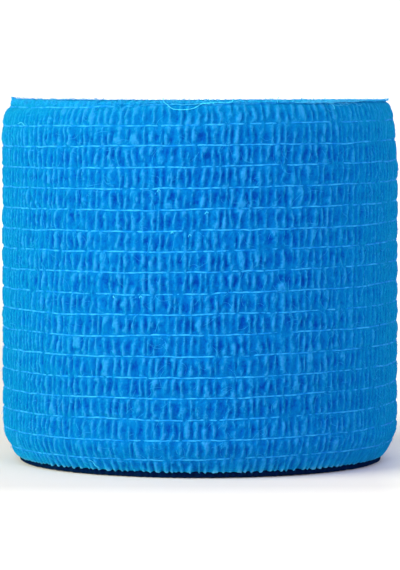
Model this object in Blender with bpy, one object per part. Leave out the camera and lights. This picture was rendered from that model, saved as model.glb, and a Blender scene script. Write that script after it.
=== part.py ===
"""Cohesive bandage roll: crimped elastic cloth wound on itself, standing on its end.

Metres, +Z up. The roll stands on Z = 0 with its bounding box centred on the origin. Its cloth
is wound inwards anticlockwise, seen from above, and the outer cut end lies at the back, at +Y.
"""

import math

import bmesh
import bpy

# The wound form
ROLL_HEIGHT = 0.0500  # the cloth's width
ROLL_RADIUS = 0.02757  # mean outer radius of the outer turn, half-way round from its cut end
TURN_THICKNESS = 0.00093  # of one turn, and so the step at the cut end
CUT_END_AZIMUTH = math.radians(90)  # anticlockwise from +X
EYE_RADIUS = 0.0020  # the small eye that the first turn is wound around

# The soft ends of the roll: how far in the cloth leans, from which distance to the end
FOOT_LEAN = 0.0026
FOOT_RISE = 0.0052
FOOT_POWER = 1.7
RIM_LEAN = 0.0014
RIM_DROP = 0.0052
RIM_POWER = 3.3

# The elastic threads, which draw the cloth in and leave a raised band between each two
LOWEST_THREAD = 0.00274  # height of the lowest thread at the front
END_BAND = 0.00255  # height of the lowest and the highest band
BAND = 0.002777  # height of each band between them
MIDDLE_BANDS = 15
GROOVE_DEPTH = 0.00025  # from a band's crown to the thread
TURN_TILT = 0.00043  # how much higher the threads of the outer turn run at +X than at the front

# The facets
COLUMNS = 60  # round the roll
BAND_STEPS = (0.0, 0.17, 0.5, 0.83)  # shares of a band's height, from its lower thread
FOOT_STEPS = (0.0, 0.17, 0.42, 0.7)  # shares of the height below the lowest thread
SHARED_RING = 0.0235  # radius where the flat ends of the outer turn meet those of the turns inside

CLOTH_BLUE = (0.004, 0.215, 0.66, 1.0)


def thread_heights():
    """The heights of the threads at the front of the roll, lowest first."""
    bands = [END_BAND] + [BAND] * MIDDLE_BANDS + [END_BAND]
    heights = [LOWEST_THREAD]
    for band in bands:
        heights.append(heights[-1] + band)
    return heights


def lean(z):
    """How far the cloth leans in towards the axis at height z, near the foot and the rim."""
    to_foot = max(0.0, 1 - z / FOOT_RISE)
    to_rim = max(0.0, 1 - (ROLL_HEIGHT - z) / RIM_DROP)
    return FOOT_LEAN * to_foot**FOOT_POWER + RIM_LEAN * to_rim**RIM_POWER


def wall_rows():
    """(height, inset from the turn's own radius) of each row of the outer turn's wall, lowest first."""
    threads = thread_heights()
    rows = []
    for share in FOOT_STEPS:
        crown = share * (1 - share) * 4
        rows.append((share * threads[0], GROOVE_DEPTH * (1 - crown) * share))
    for lower, upper in zip(threads, threads[1:]):
        for share in BAND_STEPS:
            crown = math.sin(math.pi * share) ** 0.6
            rows.append((lower + share * (upper - lower), GROOVE_DEPTH * (1 - crown)))
    rows.append((threads[-1], GROOVE_DEPTH))
    rows.append((ROLL_HEIGHT, 0.0))
    return [(z, inset + lean(z)) for z, inset in rows]


def turn_radius(share):
    """Outer radius of the outer turn, at a share of the way round from its cut end."""
    return ROLL_RADIUS + TURN_THICKNESS * (0.5 - share)


def outer_section(bm, column, rows):
    """The wall's points of one column: a standing line up the outer turn."""
    share = column / COLUMNS
    azimuth = CUT_END_AZIMUTH + math.tau * share
    points = []
    for z, inset in rows:
        radius = turn_radius(share) - inset
        held = min(1.0, z / LOWEST_THREAD) if z < ROLL_HEIGHT else 0.0
        height = z + TURN_TILT * math.cos(azimuth) * held
        points.append(bm.verts.new((radius * math.cos(azimuth), radius * math.sin(azimuth), height)))
    return points


def ring(bm, radius, z):
    """A ring of points, one for each column of the wall."""
    azimuths = [CUT_END_AZIMUTH + math.tau * column / COLUMNS for column in range(COLUMNS)]
    return [bm.verts.new((radius * math.cos(a), radius * math.sin(a), z)) for a in azimuths]


def wound_roll():
    """The whole roll as one closed mesh."""
    bm = bmesh.new()
    rows = wall_rows()
    wall = [outer_section(bm, column, rows) for column in range(COLUMNS + 1)]
    foot_ring, rim_ring = ring(bm, SHARED_RING, 0.0), ring(bm, SHARED_RING, ROLL_HEIGHT)
    foot_eye, rim_eye = ring(bm, EYE_RADIUS, 0.0), ring(bm, EYE_RADIUS, ROLL_HEIGHT)
    for column in range(COLUMNS):
        after = (column + 1) % COLUMNS
        here, there = wall[column], wall[column + 1]
        for row in range(len(rows) - 1):
            bm.faces.new((here[row], there[row], there[row + 1], here[row + 1]))
        # At the cut end the flat ends take in the foot and the rim of the turn beneath it.
        beneath = wall[COLUMNS] if column == 0 else None
        foot_corner = [beneath[0]] if beneath else []
        rim_corner = [beneath[-1]] if beneath else []
        bm.faces.new([foot_ring[column], foot_ring[after], there[0], here[0]] + foot_corner)
        bm.faces.new([here[-1], there[-1], rim_ring[after], rim_ring[column]] + rim_corner)
        bm.faces.new((foot_eye[column], foot_eye[after], foot_ring[after], foot_ring[column]))
        bm.faces.new((rim_ring[column], rim_ring[after], rim_eye[after], rim_eye[column]))
        bm.faces.new((rim_eye[column], rim_eye[after], foot_eye[after], foot_eye[column]))
    # The cut end itself: a step of one thickness, from the turn beneath out to the outer turn.
    outer, inner = wall[0], wall[COLUMNS]
    for row in range(len(rows) - 1):
        bm.faces.new((inner[row], outer[row], outer[row + 1], inner[row + 1]))
    bmesh.ops.recalc_face_normals(bm, faces=bm.faces)
    mesh = bpy.data.meshes.new("bandage_roll")
    bm.to_mesh(mesh)
    bm.free()
    return mesh


def centred(mesh):
    """Moves the points so that the roll's box is centred on the origin in X and Y."""
    for axis in (0, 1):
        places = [vertex.co[axis] for vertex in mesh.vertices]
        middle = (min(places) + max(places)) / 2
        for vertex in mesh.vertices:
            vertex.co[axis] -= middle
    return mesh


def cohesive_cloth():
    """Matt blue crimped cloth, latex-bound."""
    material = bpy.data.materials.new("cohesive_cloth")
    material.use_nodes = True
    shader = material.node_tree.nodes["Principled BSDF"]
    shader.inputs["Base Color"].default_value = CLOTH_BLUE
    shader.inputs["Roughness"].default_value = 0.85
    shader.inputs["Metallic"].default_value = 0.0
    return material


def main():
    for obj in list(bpy.data.objects):
        bpy.data.objects.remove(obj)
    mesh = centred(wound_roll())
    mesh.materials.append(cohesive_cloth())
    mesh.shade_smooth()
    mesh.set_sharp_from_angle(angle=math.radians(50))
    bpy.context.scene.collection.objects.link(bpy.data.objects.new("bandage_roll", mesh))


main()
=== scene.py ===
import math

import bmesh
import bpy
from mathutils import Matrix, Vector


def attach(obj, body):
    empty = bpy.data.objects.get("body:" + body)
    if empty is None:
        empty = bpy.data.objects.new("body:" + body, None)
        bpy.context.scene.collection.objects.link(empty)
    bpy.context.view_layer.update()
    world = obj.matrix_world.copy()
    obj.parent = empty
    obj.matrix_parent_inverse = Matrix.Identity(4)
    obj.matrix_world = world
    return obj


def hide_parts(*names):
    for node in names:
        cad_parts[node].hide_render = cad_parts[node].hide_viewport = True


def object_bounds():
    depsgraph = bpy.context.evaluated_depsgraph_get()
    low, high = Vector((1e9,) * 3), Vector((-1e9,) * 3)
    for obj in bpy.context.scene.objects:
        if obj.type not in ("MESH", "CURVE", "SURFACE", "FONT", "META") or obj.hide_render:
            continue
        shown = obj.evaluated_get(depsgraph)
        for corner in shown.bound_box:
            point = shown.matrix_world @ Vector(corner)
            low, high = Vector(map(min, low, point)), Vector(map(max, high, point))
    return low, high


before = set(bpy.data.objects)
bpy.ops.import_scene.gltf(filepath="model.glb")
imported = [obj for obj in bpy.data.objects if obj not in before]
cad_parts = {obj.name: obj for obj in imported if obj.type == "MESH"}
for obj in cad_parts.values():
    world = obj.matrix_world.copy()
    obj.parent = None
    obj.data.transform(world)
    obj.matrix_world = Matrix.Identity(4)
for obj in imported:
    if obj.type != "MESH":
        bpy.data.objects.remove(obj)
cad_low, cad_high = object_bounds()


# The wound cloth. One strip of crimped, latex-bound non-woven cloth, 50 mm wide, wound on itself
# without a core. Its place follows a rule: a spiral that loses one thickness with each turn,
# whose turns lean in at the foot and at the rim of the roll. Every piece of cloth follows it.

MM = 0.001
TURN_THICKNESS = 0.93 * MM
ROLL_HEIGHT = cad_high.z - cad_low.z
CUT_RADIUS = (cad_high.x - cad_low.x) / 2 + TURN_THICKNESS / 2  # of the spiral at its cut end
CUT_END_AZIMUTH = math.radians(90)  # from +X, so at the back
AXIS = Vector((TURN_THICKNESS / 4, -TURN_THICKNESS / 4, 0))  # the spiral's, within its box
# How far the cloth leans in, over what height, and how sharply that sets in
FOOT_LEAN, FOOT_RISE, FOOT_POWER = 2.6 * MM, 5.2 * MM, 1.7
RIM_LEAN, RIM_DROP, RIM_POWER = 1.4 * MM, 5.2 * MM, 3.3
RIGHT_LEAN = 0.38 * MM  # by which the right side leans in more, under the rim
RIGHT_FROM = ROLL_HEIGHT - 8.5 * MM, ROLL_HEIGHT - 4.5 * MM  # heights of none and of all of that
RIGHT_UP_TO = ROLL_HEIGHT + 0.5 * MM, ROLL_HEIGHT - 1.5 * MM  # the same, counted from above
LEANING_TURNS = 8  # those under the outer one lean less and less
CRIMP_PITCH = 1.14 * MM
EDGE_ROWS = 2  # of a strip's grid, round each of its long edges


class Wire:
    """A socket of a node tree. Operators add Math nodes, and node() adds any other kind."""

    def __init__(self, socket):
        self.socket = socket

    def node(self, kind, settings=(), sockets=(), out=0):
        """Adds a node, sets it up, fills its sockets, and returns one of its outputs."""
        made = self.socket.id_data.nodes.new(kind)
        for name, value in dict(settings).items():
            setattr(made, name, value)
        for name, value in dict(sockets).items():
            if isinstance(value, Wire):
                value.feed(made.inputs[name])
            else:
                made.inputs[name].default_value = value
        return Wire(made.outputs[out])

    def feed(self, socket):
        """Links this output to a socket of a node that is already there."""
        socket.id_data.links.new(self.socket, socket)

    def other(self, name):
        """Another output of the same node."""
        return Wire(self.socket.node.outputs[name])

    def math(self, operation, *others):
        return self.node("ShaderNodeMath", {"operation": operation}, enumerate((self, *others)))

    def __add__(self, other):
        return self.math("ADD", other)

    __radd__ = __add__

    def __sub__(self, other):
        return self.math("SUBTRACT", other)

    def __rsub__(self, other):
        return self.math("MULTIPLY_ADD", -1.0, other)

    def __mul__(self, other):
        return self.math("MULTIPLY", other)

    __rmul__ = __mul__

    def __truediv__(self, other):
        return self.math("DIVIDE", other)

    def __pow__(self, other):
        return self.math("POWER", other)

    def within(self, low, high):
        """The value, held between two limits."""
        return self.math("MAXIMUM", low).math("MINIMUM", high)

    def ramp(self, start, end):
        """0 up to the start, 1 from the end on, and even in between. The end may be the lower."""
        return ((self - start) / (end - start)).within(0, 1)


def vector(x, y, z):
    """A vector of three values, of which at least one is a wire."""
    wire = next(value for value in (x, y, z) if isinstance(value, Wire))
    return wire.node("ShaderNodeCombineXYZ", (), enumerate((x, y, z)))


def split(place):
    """The X of a vector, whose Y and Z are the node's other outputs."""
    return place.node("ShaderNodeSeparateXYZ", (), {0: place})


def noise(x, y, z, detail=0.0):
    """Smooth noise about 0, mostly within a half of it, over coordinates counted in its grain."""
    place = vector(x, y, z)
    sockets = {"Vector": place, "Scale": 1.0, "Detail": detail}
    return place.node("ShaderNodeTexNoise", (), sockets) - 0.5


def geometry_tree(name, sizes):
    """A Geometry Nodes tree with these named inputs, and a wire from each. Material is always one."""
    tree = bpy.data.node_groups.new(name, "GeometryNodeTree")
    tree.interface.new_socket("Geometry", in_out="INPUT", socket_type="NodeSocketGeometry")
    tree.interface.new_socket("Material", in_out="INPUT", socket_type="NodeSocketMaterial")
    for size, value in sizes.items():
        kind = "NodeSocketInt" if isinstance(value, int) else "NodeSocketFloat"
        tree.interface.new_socket(size, in_out="INPUT", socket_type=kind)
    tree.interface.new_socket("Geometry", in_out="OUTPUT", socket_type="NodeSocketGeometry")
    given = tree.nodes.new("NodeGroupInput")
    return tree, {socket.name: Wire(socket) for socket in given.outputs if socket.name}


def piece_from(tree, name, sizes, material, final, start=None):
    """Ends the tree, runs it on a new object with these sizes and keeps the plain mesh."""
    given = next(node for node in tree.nodes if node.type == "GROUP_INPUT")
    whole = final.node("GeometryNodeRealizeInstances", (), {"Geometry": final})
    sockets = {"Geometry": whole, "Material": Wire(given.outputs["Material"])}
    dressed = whole.node("GeometryNodeSetMaterial", (), sockets)
    dressed.feed(tree.nodes.new("NodeGroupOutput").inputs["Geometry"])
    piece = bpy.data.objects.new(name, start or bpy.data.meshes.new(name))
    bpy.context.scene.collection.objects.link(piece)
    modifier = piece.modifiers.new(tree.name, "NODES")
    modifier.node_group = tree
    for socket in tree.interface.items_tree:
        if socket.name in sizes and socket.in_out == "INPUT":
            modifier[socket.identifier] = sizes[socket.name]
        elif socket.name == "Material":
            modifier[socket.identifier] = material
    graph = bpy.context.evaluated_depsgraph_get()
    mesh = bpy.data.meshes.new_from_object(piece.evaluated_get(graph))
    piece.modifiers.clear()
    piece.data = mesh
    mesh.name = name
    return piece


def cloth_section(row, outer_rows, inner_rows):
    """How a row of the grid runs round the strip's cross-section: up its outer face, over its
    upper edge, down its inner face and round its lower edge. Returns the shares of the way up,
    down and out from the inner face, and the swell, 1 on the upper edge and -1 on the lower."""
    inner_face = outer_rows + EDGE_ROWS
    lower_edge = inner_face + inner_rows
    up, down = row.ramp(0, outer_rows), row.ramp(inner_face, lower_edge)
    out = row.ramp(inner_face, outer_rows) + row.ramp(lower_edge, lower_edge + EDGE_ROWS)
    upper = (1 - (row - outer_rows - 1).math("ABSOLUTE")).within(0, 1)
    lower = (1 - (row - lower_edge - 1).math("ABSOLUTE")).within(0, 1)
    return up, down, out, upper - lower


def spiral(along):
    """The turns wound, from the cut end inwards, and the spiral's radius, at a length of cloth."""
    squared = CUT_RADIUS**2 - along * (TURN_THICKNESS / math.pi)
    radius = squared.math("SQRT")
    return (CUT_RADIUS - radius) / TURN_THICKNESS, radius


def facing_right(turns):
    """How far the roll's side faces right, from -1 to 1, after so many turns from the cut end."""
    return (turns * math.tau + CUT_END_AZIMUTH).math("COSINE")


def lean(z, turns):
    """How far the cloth leans in towards the axis at height z, near the foot and the rim."""
    foot = z.ramp(FOOT_RISE, 0) ** FOOT_POWER * FOOT_LEAN
    rim = z.ramp(ROLL_HEIGHT - RIM_DROP, ROLL_HEIGHT) ** RIM_POWER * RIM_LEAN
    right = facing_right(turns).within(0, 1) * z.ramp(*RIGHT_FROM) * z.ramp(*RIGHT_UP_TO)
    return (foot + rim + right * RIGHT_LEAN) * turns.ramp(1 + LEANING_TURNS, 1)


def on_roll(turns, radius, z):
    """The place at this radius and height, after so many turns from the cut end."""
    azimuth = turns * math.tau + CUT_END_AZIMUTH
    x = azimuth.math("COSINE") * radius + AXIS.x
    y = azimuth.math("SINE") * radius + AXIS.y
    return vector(x, y, z)


def strip_grid(given, rows):
    """A grid of columns along the cloth and rows round its section, the share of the way along
    it and the number of the row at each point."""
    columns = given["Columns"]
    sockets = {"Size X": 1.0, "Size Y": 1.0, "Vertices X": columns, "Vertices Y": rows + 1}
    grid = columns.node("GeometryNodeMeshGrid", (), sockets)
    index = grid.node("GeometryNodeInputIndex")
    column = (index / (rows + 1)).math("FLOOR")
    return grid, column / (columns - 1), index - column * (rows + 1)


def keep(geometry, name, value, kind="FLOAT", domain="POINT"):
    """Stores a value on the mesh for the material to read."""
    settings = {"data_type": kind, "domain": domain}
    sockets = {"Geometry": geometry, "Name": name, "Value": value}
    return geometry.node("GeometryNodeStoreNamedAttribute", settings, sockets)


# On the flat map of a strip its lengths take nearly the whole width, and its two ends the rest.
LENGTHS_FROM, LENGTHS_WIDTH = 0.002, 0.985
LENGTH_MARGIN, LENGTH_SPAN = 0.01, 0.98  # of each length's share of the map's height
ENDS_FROM, END_PITCH, END_WIDTH = 0.99, 0.005, 0.004


def flat_map(share, row, rows, lengths):
    """A flat map of the strip, cut into so many lengths that lie one above the other."""

    def on(domain, value):
        return value.node("GeometryNodeFieldOnDomain", {"domain": domain}, {"Value": value})

    share, row = on("POINT", share * lengths), on("POINT", row)
    length = on("FACE", share).math("FLOOR").within(0, lengths - 1)
    x = (share - length) * LENGTHS_WIDTH + LENGTHS_FROM
    y = (row / rows * LENGTH_SPAN + length + LENGTH_MARGIN) / lengths
    return vector(x, y, 0.0)


def closed_strip(piece):
    """Joins the section's last row to its first and closes the two ends of the cloth."""
    bm = bmesh.new()
    bm.from_mesh(piece.data)
    bmesh.ops.remove_doubles(bm, verts=bm.verts, dist=1e-7)
    ends = [edge for edge in bm.edges if edge.is_boundary]
    flat = bm.loops.layers.uv["OFBake"]
    for number, end in enumerate(bmesh.ops.holes_fill(bm, edges=ends)["faces"]):
        radii = [loop.vert.co.xy.length for loop in end.loops]
        for loop, radius in zip(end.loops, radii):
            across = (radius - min(radii)) / (max(radii) - min(radii))
            x = ENDS_FROM + END_PITCH * number + END_WIDTH * across
            loop[flat].uv = (x, loop.vert.co.z / ROLL_HEIGHT)
    if bm.calc_volume(signed=True) < 0:
        bmesh.ops.reverse_faces(bm, faces=bm.faces)
    bm.to_mesh(piece.data)
    bm.free()
    piece.data.shade_smooth()


def matt_material(name, roughness, shine):
    """A material with this roughness and this weak shine, and its shader."""
    material = bpy.data.materials.new(name)
    material.use_nodes = True
    shader = material.node_tree.nodes["Principled BSDF"]
    shader.inputs["Roughness"].default_value = roughness
    shader.inputs["Specular IOR Level"].default_value = shine
    return material, shader


def kept_value(material, name, out="Fac"):
    """A value that keep() has stored on the mesh."""
    attribute = material.node_tree.nodes.new("ShaderNodeAttribute")
    attribute.attribute_name = name
    return Wire(attribute.outputs[out])


def blend(factor, one, other):
    """Blends two colours."""
    return factor.node("ShaderNodeMix", {"data_type": "RGBA"}, {0: factor, 6: one, 7: other}, 2)


# The blues of the cloth, from between its crimps up to their crests: partly its own tone, partly painted
# shade between the crimps and a painted highlight on the crests
VALLEY_SHADE_BLUE, FLANK_BLUE = (0.0, 0.041, 0.385, 1), (0.0, 0.138, 0.495, 1)
CRIMP_BLUE, CREST_HIGHLIGHT_BLUE = (0.001, 0.225, 0.585, 1), (0.03, 0.264, 0.73, 1)
# and near the roll's rim, at its foot with painted light as from the floor, at the cut edges and their
# tips, and a painted shade in the gap under the roll
RIM_BLUE, FOOT_LIGHT_BLUE = (0.002, 0.33, 0.62, 1), (0.0, 0.23, 0.85, 1)
EDGE_BLUE, TIP_BLUE = (0.01, 0.42, 0.88, 1), (0.13, 0.52, 0.9, 1)
GAP_SHADE_BLUE = (0.0, 0.008, 0.06, 1)
SHEEN_TINT = (0.0, 0.9, 0.85, 1)
MAT_ANGLES = (0.3, 3.1), (1.2, 7.7), (2.2, 11.3), (2.8, 17.9)  # each with its seed
WEAVE_DEPTH = 0.15 * MM


def cloth_material(name, fuzz, tips):
    """Blue crimped cloth: paler on the crimps and deeper blue between them, partly its own tone and
    partly a painted highlight and painted shade; a nearly black painted shade in the gap under the roll;
    paler at the rim and the cut edges, lighter at the foot with painted light as from the floor; with a
    mat of fine fibres. Fuzz is the strength of the sheen that the mat gives it, and tips that of the
    pale tips at its edges."""
    material, shader = matt_material(name, 0.9, 0.03)
    relief, edge = kept_value(material, "relief"), kept_value(material, "cut_edge")
    across = split(kept_value(material, "cloth_mm", "Vector"))
    height = across.other("Y")
    strands = 0.0
    for angle, seed in MAT_ANGLES:
        along = across * math.cos(angle) + height * math.sin(angle)
        aside = height * math.cos(angle) - across * math.sin(angle)
        strand = noise(along * 1.1, aside * 7.0, seed, 1.0).math("ABSOLUTE")
        strands = (1 - strand * 9).within(0, 1) + strands
    blotch = noise(across * 0.9, height * 0.9, 4.4, 2.0)
    speckle = noise(across * 3.5, height * 3.5, 9.4, 2.0)
    rim, foot = height.ramp(44, 49), height.ramp(9, 0)  # in millimetres
    shade = relief + blotch * 0.3 + speckle * 0.65 + strands * 0.08 - 0.035
    # Paler at the rim, and lighter towards the foot with painted light, as from the floor under the
    # roll.
    shade = shade + rim * 0.12 + foot * 0.08
    # Deeper between the crimps and paler on them: partly the cloth's own tone, partly painted shade in
    # the valleys and a painted highlight on the crests.
    blue = blend(shade.ramp(0, 0.45455), VALLEY_SHADE_BLUE, FLANK_BLUE)
    blue = blend(shade.ramp(0.5, 0.95455), blue, CRIMP_BLUE)
    blue = blend(shade.ramp(0.69444, 1.25), blue, CREST_HIGHLIGHT_BLUE)
    blue = blend(rim * 0.14, blue, RIM_BLUE)
    # Painted light at the foot, as from the floor under the roll.
    blue = blend(foot * 0.16, blue, FOOT_LIGHT_BLUE)
    # Painted shade, nearly black, in the gap under the roll.
    blue = blend(relief.ramp(0, -1), blue, GAP_SHADE_BLUE)
    blue = blend(edge * 0.6, blue, EDGE_BLUE)
    blue = blend(edge.ramp(2 / 3, 1) * tips, blue, TIP_BLUE)
    blue.feed(shader.inputs["Base Color"])
    weave = strands * 0.15 + speckle * 1.2
    sockets = {"Height": weave, "Distance": WEAVE_DEPTH, "Strength": 1.0}
    weave.node("ShaderNodeBump", (), sockets).feed(shader.inputs["Normal"])
    shader.inputs["Sheen Weight"].default_value = fuzz
    shader.inputs["Sheen Roughness"].default_value = 0.5
    shader.inputs["Sheen Tint"].default_value = SHEEN_TINT
    return material


outer_cloth = cloth_material("outer_cloth", 0.4, 0.8)
wound_cloth = cloth_material("wound_cloth", 0.03, 0.0)


# The outer turn. The one turn of the cloth that shows all round. Its 18 elastic threads draw it
# into 17 bands of crimps, and its lower edge curls in under the roll. Its cut end is pressed on to
# the turn beneath, at the back.

THREADS = 18
BELOW, ABOVE = 4 / 6, 2 / 6  # cloth beyond the end threads, counted in bands
TOP_THREAD = THREADS - 1  # counted in bands from the lowest thread, as are the next three
TOP_EDGE = TOP_THREAD + ABOVE
MIDDLE = 8
UNDER_RIM = 15.6, 16.6  # the stretch over which the crimps fade on the left
LOWEST_THREAD = 2.74 * MM
BAND = 2.777 * MM  # between two threads
END_BAND_LOSS = 0.227 * MM  # by which the lowest and the highest band are narrower
HEM = 1.263 * MM  # by which a whole band over the top thread would be narrower
CURL = 0.25 * MM  # by which a whole band under the lowest thread would be narrower
TURN_TILT = 0.43 * MM  # by which the threads run higher on the right than in the middle
GROOVE_DEPTH = 0.2 * MM
CRIMP_DEPTH = 0.43 * MM
CRIMP_LEAN = 0.053  # the part of a pitch by which the crimps shift from one band to the next
CREST = 0.43  # the relief of cloth that lies flat
UPPER_TIPS, LOWER_TIPS = 0.24 * MM, 0.3 * MM  # by which the crimps stand out at the cut edges

# How uneven the cloth is, in layers. Each has its grain in millimetres along the cloth, its grains
# to a band, its seed, its finer detail and its amount.
DRIFT = ((14.0, 0.12, 1.7, 0.0, 1.6), (1.1, 0.1, 6.1, 0.0, 0.5))  # of the crimps, in pitches
BAND_DRIFT = ((2.2, 7.3, 13.1, 0.0, 1.0),)  # the same, another one in each band
BEND = ((0.9, 1.8, 3.9, 0.0, 0.75), (0.5, 5.0, 7.9, 1.0, 0.5))  # of each crimp, in pitches
PATCHES = ((1.8, 1.1, 9.2, 1.0, 2.6),)  # of strong and of flat crimps
BEADS = ((0.47, 5.6, 12.6, 2.0, 0.9),)  # of the relief
WANDER = ((12.0, 0.7, 21.5, 0.0, 0.36), (2.5, 0.8, 25.5, 0.0, 0.2), (0.9, 0.9, 27.5, 0.0, 0.12))
FUZZ = ((0.3, 7.5, 30.8, 1.0, 0.15),)  # in millimetres, as the threads' wander is


def layered(along, bands, layers):
    """The layers of unevenness, added up."""
    total = 0.0
    for grain, in_band, seed, detail, amount in layers:
        total = noise(along / (grain * MM), bands * in_band, seed, detail) * amount + total
    return total


def crimp_relief(along, bands, puff, right):
    """The relief of the crimps, from 0 between them to 1 on them. They run across all the bands,
    but each band shifts, bends and merges them, and the threads pinch them shut."""
    drift = layered(along, bands, DRIFT) + layered(along, bands.math("FLOOR"), BAND_DRIFT)
    crimp = along / CRIMP_PITCH - bands * CRIMP_LEAN + drift + layered(along, bands, BEND)
    ridge = ((crimp * math.tau).math("COSINE") * 0.5 + 0.5) ** (puff * 1.2 + 0.9) - CREST
    # Here and there they lie flat. They fade over the top thread, under the rim on the left, and
    # towards both sides of the roll.
    patch = (layered(along, bands, PATCHES) + 0.95).within(0.12, 1.15)
    patch = patch * (1 - bands.ramp(TOP_THREAD, TOP_EDGE) * 0.6)
    patch = patch * (1 - bands.ramp(*UNDER_RIM) * right.within(-1, 0) ** 2 * 0.55)
    patch = patch * (1 - right.ramp(0.6, 1) * 0.64) * (1 - right.ramp(-0.75, -1) * 0.375)
    crest = ridge.math("MAXIMUM", 0.0) * (puff**0.3 * 0.7 + 0.3)
    valley = ridge.math("MINIMUM", 0.0) * (puff * 0.95 + 0.05)
    return CREST + (crest + valley) * patch * 0.92 + layered(along, bands, BEADS)


def to_cut_edge(bands):
    """How many bands it is to the nearer cut edge of the cloth."""
    return (bands + BELOW).math("MINIMUM", TOP_EDGE - bands)


def cloth_height(along, bands, right, relief):
    """The height of the cloth at so many bands over the lowest thread."""
    end_bands = bands.ramp(0, 1) + bands.ramp(TOP_THREAD - 1, TOP_THREAD)
    z = LOWEST_THREAD + bands * BAND - end_bands * END_BAND_LOSS
    z = z - bands.ramp(TOP_THREAD, TOP_THREAD + 1) * HEM - bands.within(-1, 0) * CURL
    # The threads wander a little, and climb to the right as the turn is wound.
    hold = bands.ramp(-BELOW, 0) * bands.ramp(TOP_EDGE, TOP_THREAD)
    z = z + (right * TURN_TILT + layered(along, bands, WANDER) * MM) * hold
    # The hem stands highest on the left and lowest in the middle of the front.
    hem = right.within(-1, 0) ** 2 * 0.35 + right.within(0, 1) * 0.12 - 0.12
    z = z + bands.ramp(TOP_THREAD, TOP_EDGE) * hem * MM
    # The crimps end in small tips along both cut edges.
    tips = to_cut_edge(bands).ramp(1 / 8, 0) * (relief - 0.5)
    return z + tips * (bands - MIDDLE).within(-LOWER_TIPS, UPPER_TIPS)


def cloth_face(along, bands):
    """The outer face of the outer turn, at a length of cloth and at so many bands over the lowest
    thread. Returns the turns, radius, height and relief there."""
    turns, radius = spiral(along)
    share = bands - bands.math("FLOOR")
    puff = share * (1 - share) * 4  # from 0 at a thread to 1 between two
    right = facing_right(turns)
    relief = crimp_relief(along, bands, puff, right)
    z = cloth_height(along, bands, right, relief)
    groove = (bands.ramp(TOP_THREAD - 1, TOP_THREAD) + 1) * GROOVE_DEPTH
    radius = radius - lean(z, turns) - (1 - puff**0.35) * groove
    radius = radius + (relief - 0.9) * CRIMP_DEPTH + layered(along, bands, FUZZ) * MM
    return turns, radius, z, relief


OUTER_SIZES = {
    "Columns": 820,
    "Length": 0.1772,  # of cloth from the cut end, a little more than one turn
    "Cloth Thickness": 0.7 * MM,
    "Edge Thickness": 0.4 * MM,
    "Edge Bands": 1.5,  # over which the cloth thins towards its cut edges
    "Edge Swell": 0.12 * MM,
}
ROWS_UP, ROWS_DOWN = 108, 6
OUTER_ROWS = ROWS_UP + ROWS_DOWN + 2 * EDGE_ROWS
CROWDING = 0.35  # of the rows towards the threads
tree, given = geometry_tree("outer_turn", OUTER_SIZES)
grid, share, row = strip_grid(given, OUTER_ROWS)
up, down, out, swell = cloth_section(row, ROWS_UP, ROWS_DOWN)
along = share * given["Length"]
even = (up - down) * (BELOW + TOP_EDGE) - BELOW
bands = even - (even * math.tau).math("SINE") * (CROWDING / math.tau)
turns, radius, z, relief = cloth_face(along, bands)
to_edge = to_cut_edge(bands).ramp(0, given["Edge Bands"])
thickness = given["Edge Thickness"] + (given["Cloth Thickness"] - given["Edge Thickness"]) * to_edge
z = z + swell * given["Edge Swell"]
placed = {"Geometry": grid, "Position": on_roll(turns, radius - (1 - out) * thickness, z)}
turn = grid.node("GeometryNodeSetPosition", (), placed)
turn = keep(turn, "relief", relief)
turn = keep(turn, "cut_edge", to_edge.ramp(1 / 5, 0) * (relief * 1.6).within(0, 1))
turn = keep(turn, "cloth_mm", vector(along / MM, z / MM, out), "FLOAT_VECTOR")
turn = keep(turn, "OFBake", flat_map(share, row, OUTER_ROWS, lengths=2), "FLOAT2", "CORNER")
outer_turn = piece_from(tree, "outer_turn", OUTER_SIZES, outer_cloth, turn)
closed_strip(outer_turn)
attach(outer_turn, "root")
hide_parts("bandage_roll")


# The inner turns. All the cloth beneath the outer turn, about 27 turns whose crimped edges show
# packed together at both ends of the roll, round the small eye. It is made as one long strip.

INNER_SIZES = {
    "Columns": 9500,
    "First Length": 0.1735,  # of cloth from the cut end, where this strip starts
    "Last Length": 2.6385,
    "Cloth Thickness": 0.56 * MM,
    "Crimp Wave": 0.17 * MM,
    "Rub Grain": 0.5 * MM,
    "Rub Depth": 0.1 * MM,
    "Edge Unevenness": 0.22 * MM,
    "Edge Swell": 0.12 * MM,
    "Edge Depth": 1.0 * MM,
    "Edge Drop": 0.45 * MM,  # by which the upper edge lies under the rim of the roll
    "Straight Foot": 1.0 * MM,  # under this height the cloth is pressed straight and leans no further
}
FACE_ROWS = 3  # on each face: one near each edge, and a long one between them
INNER_ROWS = 2 * FACE_ROWS + 2 * EDGE_ROWS
tree, given = geometry_tree("wound_strip", INNER_SIZES)
grid, share, row = strip_grid(given, INNER_ROWS)
up, down, out, swell = cloth_section(row, FACE_ROWS, FACE_ROWS)
first, last = given["First Length"], given["Last Length"]
along = first + share * (last - first)
turns, radius = spiral(along)
crimp = along / CRIMP_PITCH + noise(along / (3 * MM), 0.0, 2.2) * 2.4
wave = (crimp * math.tau).math("COSINE")
uneven = noise(along / (9 * MM), 0.0, 5.5, 2.0)
level = (up - down) * FACE_ROWS
foot = (uneven + 0.3).within(0, 1) * given["Edge Unevenness"] + given["Edge Swell"]
top = ROLL_HEIGHT - given["Edge Drop"] + uneven * given["Edge Unevenness"] * 2.0
depth = given["Edge Depth"]
z = foot + depth * level.ramp(0, 1) + (top - foot - depth * 2) * level.ramp(1, 2)
z = z + depth * level.ramp(2, 3) + swell * given["Edge Swell"]
rub = noise(along / given["Rub Grain"], z / given["Rub Grain"], 8.8, 1.0) * given["Rub Depth"]
out_at = radius - (1 - out) * given["Cloth Thickness"] + wave * given["Crimp Wave"] + rub
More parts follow.
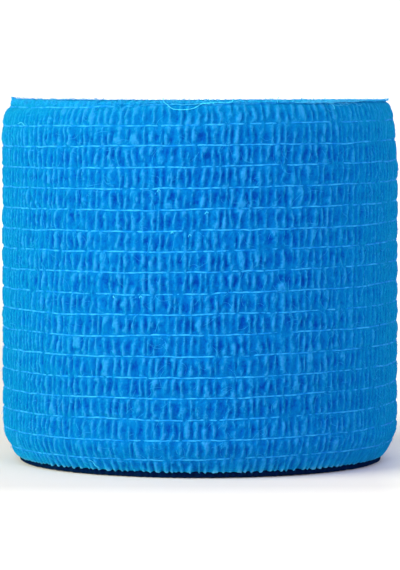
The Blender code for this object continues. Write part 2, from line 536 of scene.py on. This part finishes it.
leaning = lean(z.math("MAXIMUM", given["Straight Foot"]), turns)
placed = {"Geometry": grid, "Position": on_roll(turns, out_at - leaning, z)}
strip = grid.node("GeometryNodeSetPosition", (), placed)
# The first few of these turns get a painted shade at the foot, dark where the narrow gap under the roll
# shows them.
shown = ((level - 1) + (turns - 2) / 4).within(0, 1)
strip = keep(strip, "relief", (0.35 + wave * 0.2) * shown + shown - 1)
strip = keep(strip, "cut_edge", level.ramp(2, 3))
strip = keep(strip, "cloth_mm", vector(along / MM, z / MM, out), "FLOAT_VECTOR")
strip = keep(strip, "OFBake", flat_map(share, row, INNER_ROWS, lengths=26), "FLOAT2", "CORNER")
inner_turns = piece_from(tree, "inner_turns", INNER_SIZES, wound_cloth, strip)
closed_strip(inner_turns)
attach(inner_turns, "root")
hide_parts("bandage_roll")


# The elastic threads. Fine bare strands bonded to the outer face of the cloth, one in each groove
# between two bands. Fibres of the cloth cover them here and there.

COATED_BLUE, BARE_BLUE = (0.004, 0.22, 0.66, 1), (0.027, 0.385, 0.79, 1)


def coordinates(owner, kind="Object"):
    """The coordinates of each place that a material or the world colours."""
    return Wire(owner.node_tree.nodes.new("ShaderNodeTexCoord").outputs[kind])


def elastic_material():
    """Pale blue elastic strand, in places coated by the blue binder of the cloth."""
    material, shader = matt_material("elastic_strand", 0.8, 0.02)
    place = coordinates(material)
    place = place.node("ShaderNodeVectorMath", {"operation": "SCALE"}, {0: place, "Scale": 1 / MM})
    coating = place.node("ShaderNodeTexNoise", (), {"Vector": place, "Scale": 1.1, "Detail": 2.0})
    blend(coating.ramp(0.3625, 0.6125), COATED_BLUE, BARE_BLUE).feed(shader.inputs["Base Color"])
    return material


def equal_lines(given, points, copies):
    """Equal straight lines of so many points, the number of each line, and the share of the way
    along it at each point."""
    ends = {"Start": (0, 0, 0), "End": (1, 0, 0)}
    line = given["Geometry"].node("GeometryNodeCurvePrimitiveLine", (), ends)
    line = line.node("GeometryNodeResampleCurve", (), {"Curve": line, "Count": points})
    sockets = {"Geometry": line, "Amount": copies}
    lines = line.node("GeometryNodeDuplicateElements", {"domain": "SPLINE"}, sockets)
    return lines, lines.other("Duplicate Index"), split(lines.node("GeometryNodeInputPosition"))


def thickened(line, sides, radius):
    """Round strands of this radius along the lines, closed at their ends."""
    ring = {"Resolution": sides, "Radius": radius}
    ring = line.node("GeometryNodeCurvePrimitiveCircle", (), ring)
    sockets = {"Curve": line, "Profile Curve": ring, "Fill Caps": True}
    return line.node("GeometryNodeCurveToMesh", (), sockets)


THREAD_SIZES = {
    "Pieces": 420,
    "Length": 0.1737,
    "Thread Radius": 0.125 * MM,
    "Most Sunk": -0.3 * MM,  # into the cloth, where its fibres cover the thread
    "Most Raised": 0.02 * MM,
}
THREAD_RISE = ((0.9, 3.3, 40.2, 1.0, 1.0), (5.0, 1.0, 44.2, 0.0, 1.0), (0.35, 5.7, 47.2, 0.0, 0.6))
tree, given = geometry_tree("elastic_threads", THREAD_SIZES)
strand, number, share = equal_lines(given, given["Pieces"], THREADS)
along = share * given["Length"]
turns, radius, z, relief = cloth_face(along, number + 0.0001)
# On the right of the roll the threads lie a little deeper in the cloth.
rise = layered(along, number, THREAD_RISE) * 0.9 + 0.08 - facing_right(turns).within(0, 1) * 0.08
radius = radius + (rise * MM).within(given["Most Sunk"], given["Most Raised"])
placed = {"Geometry": strand, "Position": on_roll(turns, radius, z)}
strand = strand.node("GeometryNodeSetPosition", (), placed)
strand = thickened(strand, sides=4, radius=given["Thread Radius"])
elastic_threads = piece_from(tree, "elastic_threads", THREAD_SIZES, elastic_material(), strand)
elastic_threads.data.shade_smooth()
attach(elastic_threads, "root")
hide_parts("bandage_roll")


# The loose fibres. Fine ends of the cloth's fibres that have worked free of its outer face, lie on
# it in all directions and lift off it a little.

FIBRE_POINTS = 7
MOST_CURVE = 0.3  # of a fibre's reach
LOOSE_BLUE, HEM_BLUE = (0.02, 0.38, 0.85, 1), (0.02, 0.42, 0.85, 1)
FRAYED_BLUE, STRAY_BLUE = (0.08, 0.58, 0.95, 1), (0.06, 0.66, 1.0, 1)


def random(low, high, seed, number):
    """A value of its own for each copy with this number."""
    sockets = {2: low, 3: high, "ID": number, "Seed": seed}
    return number.node("FunctionNodeRandomValue", {"data_type": "FLOAT"}, sockets, 1)


def fibre_material(colour):
    """Fibre of one even colour."""
    material, shader = matt_material("cloth_fibre", 0.8, 0.05)
    shader.inputs["Base Color"].default_value = colour
    return material


def fibres_from(tree, name, sizes, material, given, fibre, start=None):
    """Gives the fibres their thickness, and keeps them as a piece of the roll."""
    fibre = thickened(fibre, sides=3, radius=given["Fibre Radius"])
    piece = piece_from(tree, name, sizes, material, fibre, start)
    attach(piece, "root")
    return piece


def scattered_fibres(name, sizes, material):
    """Short curved fibres spread over a part of the outer turn."""
    tree, given = geometry_tree(name, sizes)
    fibre, number, way = equal_lines(given, FIBRE_POINTS, given["Fibres"])
    heading = random(given["Least Heading"], given["Most Heading"], 1, number)
    reach = random(given["Shortest"], given["Longest"], 2, number)
    curve = random(-MOST_CURVE, MOST_CURVE, 3, number) * reach * (way * math.pi).math("SINE")
    along_it, upwards = heading.math("COSINE"), heading.math("SINE")
    start = random(given["From Length"], given["To Length"], 4, number)
    along = start + reach * way * along_it - curve * upwards
    height = reach * way * upwards + curve * along_it
    lowest, highest = given["Lowest Band"], given["Highest Band"]
    bands = random(lowest, highest, 5, number) + height / BAND
    bands = bands.within(-BELOW, highest + given["Most Rise"])
    turns, radius, z, relief = cloth_face(along.within(0, OUTER_SIZES["Length"]), bands)
    lift = random(0.0, given["Most Lift"], 6, number) * way**2 + given["Fibre Radius"]
    placed = {"Geometry": fibre, "Position": on_roll(turns, radius + lift, z)}
    fibre = fibre.node("GeometryNodeSetPosition", (), placed)
    return fibres_from(tree, name, sizes, material, given, fibre)


FIBRE_SIZES = {
    "Fibres": 1500,
    "From Length": 0.0,  # the length of cloth over which they are spread
    "To Length": 0.1732,
    "Lowest Band": -BELOW,
    "Highest Band": TOP_EDGE,
    "Least Heading": 0.0,
    "Most Heading": math.tau,
    "Shortest": 0.5 * MM,
    "Longest": 2.2 * MM,
    "Fibre Radius": 0.02 * MM,
    "Most Rise": 0.0,  # over the highest band, counted in bands
    "Most Lift": 0.3 * MM,
}
HEM_FIBRE_SIZES = FIBRE_SIZES | {
    "Fibres": 1800,
    "Lowest Band": TOP_THREAD + ABOVE * 0.3,
    "Least Heading": 0.2,
    "Most Heading": 2.9,
    "Shortest": 0.25 * MM,
    "Longest": 0.9 * MM,
    "Most Rise": 0.17,
}
FRAYED_SIZES = HEM_FIBRE_SIZES | {
    "Fibres": 260,
    "From Length": 0.1015,
    "To Length": 0.1145,
    "Least Heading": -0.5,
    "Most Heading": 0.5,
    "Shortest": 0.5 * MM,
    "Longest": 2.0 * MM,
}
loose_fibres = scattered_fibres("loose_fibres", FIBRE_SIZES, fibre_material(LOOSE_BLUE))
hem_fibres = scattered_fibres("hem_fibres", HEM_FIBRE_SIZES, fibre_material(HEM_BLUE))
frayed_fibres = scattered_fibres("frayed_fibres", FRAYED_SIZES, fibre_material(FRAYED_BLUE))

# Longer strands that stray over the rim and the front, each by its bends: the millimetres round
# from the middle of the front, the bands up from the lowest thread and the millimetres off the cloth.
STRANDS = (
    ((-5.4, 17.75, 0.3), (-5.2, 17.25, 0.1), (-4.3, 16.85, 0.1), (-3.3, 16.74, 0.08), (-1.4, 16.78, 0.1),
     (-0.4, 16.96, 0.1), (0.4, 17.2, 0.12), (2.2, 17.26, 0.12), (3.9, 17.24, 0.12), (4.5, 17.7, 0.3)),
    ((-4.2, 17.1, 0.1), (-2.8, 16.98, 0.08), (-1.2, 17.05, 0.1), (0.2, 17.15, 0.1), (1.2, 17.1, 0.1)),
    ((0.9, 17.65, 0.3), (1.2, 17.4, 0.15), (1.7, 17.15, 0.1)),
    ((11.0, 17.8, 0.3), (10.8, 17.45, 0.2), (10.9, 17.1, 0.1)),
    ((13.5, 17.22, 0.1), (15.5, 17.05, 0.1), (17.5, 17.3, 0.15), (19.5, 17.12, 0.1), (21.5, 17.3, 0.12)),
    ((18.5, 17.2, 0.1), (20.6, 17.3, 0.15), (23.0, 17.12, 0.1), (25.5, 17.3, 0.12), (27.8, 17.25, 0.1)),
    ((19.6, 17.2, 0.1), (20.0, 16.9, 0.1), (20.1, 16.7, 0.08)),
    ((-16.5, -0.15, 0.1), (-16.1, -0.38, 0.15), (-15.7, -0.5, 0.15), (-15.4, -0.62, 0.2)),
    ((-31.1, 16.12, 0.1), (-30.3, 16.2, 0.2), (-29.6, 16.16, 0.2), (-29.0, 16.0, 0.08)),
    ((-5.9, 12.8, 0.05), (-5.7, 12.95, 0.25), (-5.5, 12.85, 0.05)),
    ((0.4, 11.75, 0.05), (0.6, 11.85, 0.25), (0.9, 11.82, 0.05)),
    ((-4.1, 10.9, 0.05), (-3.9, 11.0, 0.25), (-3.8, 10.9, 0.05)),
    ((-1.8, 10.72, 0.05), (-1.6, 10.84, 0.25), (-1.4, 10.76, 0.05)),
    ((-8.4, 7.85, 0.05), (-8.2, 7.95, 0.25), (-8.0, 7.88, 0.05)),
    ((-12.3, 7.78, 0.05), (-12.1, 7.9, 0.25), (-11.9, 7.8, 0.05)),
)
STRAND_SIZES = {
    "Bends": 64,
    "Front Length": 0.08735,  # of cloth from the cut end to the middle of the front
    "Fibre Radius": 0.055 * MM,
}
bends = []
steps = []
for strand in STRANDS:
    steps += [(len(bends) + step, len(bends) + step + 1) for step in range(len(strand) - 1)]
    bends += strand
strand_lines = bpy.data.meshes.new("stray_strands")
strand_lines.from_pydata(bends, steps, [])
tree, given = geometry_tree("stray_strands", STRAND_SIZES)
strand = given["Geometry"].node("GeometryNodeMeshToCurve", (), {0: given["Geometry"]})
strand = strand.node("GeometryNodeCurveSplineType", {"spline_type": "CATMULL_ROM"}, {"Curve": strand})
strand = strand.node("GeometryNodeResampleCurve", (), {"Curve": strand, "Count": given["Bends"]})
place = split(strand.node("GeometryNodeInputPosition"))
turns, radius, z, relief = cloth_face(place * MM + given["Front Length"], place.other("Y"))
placed = {"Geometry": strand, "Position": on_roll(turns, radius + place.other("Z") * MM, z)}
strand = strand.node("GeometryNodeSetPosition", (), placed)
strand_material = fibre_material(STRAY_BLUE)
fibres_from(tree, "stray_strands", STRAND_SIZES, strand_material, given, strand, strand_lines)


# The studio. A pale floor that sweeps up behind the roll, a large soft lamp at the left, a weaker
# one in front, a sky brighter in front and on the right, and a camera a little over the roll's rim.

SWEEP_WIDTH, SWEEP_FRONT, SWEEP_BACK = 6.0, -3.0, 2.0
SWEEP_BEND, SWEEP_RISE, BEND_STEPS = 0.8, 3.0, 16
PAPER_WHITE, BESIDE_GLOW = (0.77, 0.775, 0.75, 1), (0.85, 1.0, 0.78, 1)
LEFT_SKY, RIGHT_SKY = (1.0, 1.0, 0.9, 1), (0.78, 0.71, 1.1, 1)
CAMERA_DISTANCE, CAMERA_HEIGHT = 0.5017, 0.0526
CAMERA_DIP = math.radians(3.23)
LENS = 227.9

outline = [(SWEEP_FRONT, 0.0), (SWEEP_BACK, 0.0)]
for step in range(1, BEND_STEPS + 1):
    angle = math.pi / 2 * step / BEND_STEPS
    outline.append((SWEEP_BACK + SWEEP_BEND * math.sin(angle), SWEEP_BEND * (1 - math.cos(angle))))
outline.append((SWEEP_BACK + SWEEP_BEND, SWEEP_RISE))
half = SWEEP_WIDTH / 2
points = [(side * half, y, z) for y, z in outline for side in (-1, 1)]
faces = [(2 * i, 2 * i + 1, 2 * i + 3, 2 * i + 2) for i in range(len(outline) - 1)]
sweep_mesh = bpy.data.meshes.new("studio_floor")
sweep_mesh.from_pydata(points, [], faces)
sweep_mesh.shade_smooth()
paper, paper_shader = matt_material("pale_paper", 0.9, 0.1)
paper_shader.inputs["Base Color"].default_value = PAPER_WHITE
paper_shader.inputs["Emission Strength"].default_value = 0.6
# The paper glows in front of the roll and behind it, and weakly beside it on the right.
place = split(coordinates(paper))
in_front, behind = place.other("Y").ramp(-0.034, -0.074), place.other("Y").ramp(0.15, 0.65)
beside = place.ramp(0.023, 0.033) * 0.4
glow = blend(beside, (0.0, 0.0, 0.0, 1), BESIDE_GLOW)
glow = blend((behind + in_front).within(0, 1), glow, (1, 1, 1, 1))
glow.feed(paper_shader.inputs["Emission Color"])
sweep_mesh.materials.append(paper)
studio_floor = bpy.data.objects.new("studio_floor", sweep_mesh)
bpy.context.scene.collection.objects.link(studio_floor)

LAMPS = (
    # name, place, width, height, watts, colour
    ("left_lamp", (-0.8, -0.45, 0.5), 0.8, 0.8, 14.4, (1.06, 1.0, 0.81)),
    ("front_lamp", (0.1, -1.0, 0.7), 1.0, 0.6, 4.2, (1.02, 1.0, 1.03)),
)
for name, place, width, height, watts, colour in LAMPS:
    data = bpy.data.lights.new(name, "AREA")
    data.shape, data.size, data.size_y = "RECTANGLE", width, height
    data.energy, data.color = watts, colour
    lamp = bpy.data.objects.new(name, data)
    lamp.location = place
    aim = Vector((0, 0, ROLL_HEIGHT / 2)) - lamp.location
    lamp.rotation_euler = aim.to_track_quat("-Z", "Y").to_euler()
    bpy.context.scene.collection.objects.link(lamp)

world = bpy.data.worlds.new("studio")
world.use_nodes = True
background = world.node_tree.nodes["Background"]
way = split(coordinates(world, "Generated"))
strength = 0.17 - way.other("Y").within(-1, 0) * 0.6 + way.within(0, 1) * 0.97
strength = strength - way.ramp(0.8, 1) * 0.92
sky = blend((way * 1.5 + 0.2).within(0, 1), LEFT_SKY, RIGHT_SKY)
strength.feed(background.inputs["Strength"])
sky.feed(background.inputs["Color"])
bpy.context.scene.world = world
bpy.context.scene.view_settings.view_transform = "Standard"

camera_data = bpy.data.cameras.new("camera")
camera_data.sensor_width, camera_data.lens = 36, LENS
camera_data.clip_start, camera_data.clip_end = 0.01, 20
camera = bpy.data.objects.new("camera", camera_data)
camera.location = (0, -CAMERA_DISTANCE, CAMERA_HEIGHT)
camera.rotation_euler = (math.pi / 2 - CAMERA_DIP, 0, 0)
bpy.context.scene.collection.objects.link(camera)
bpy.context.scene.camera = camera
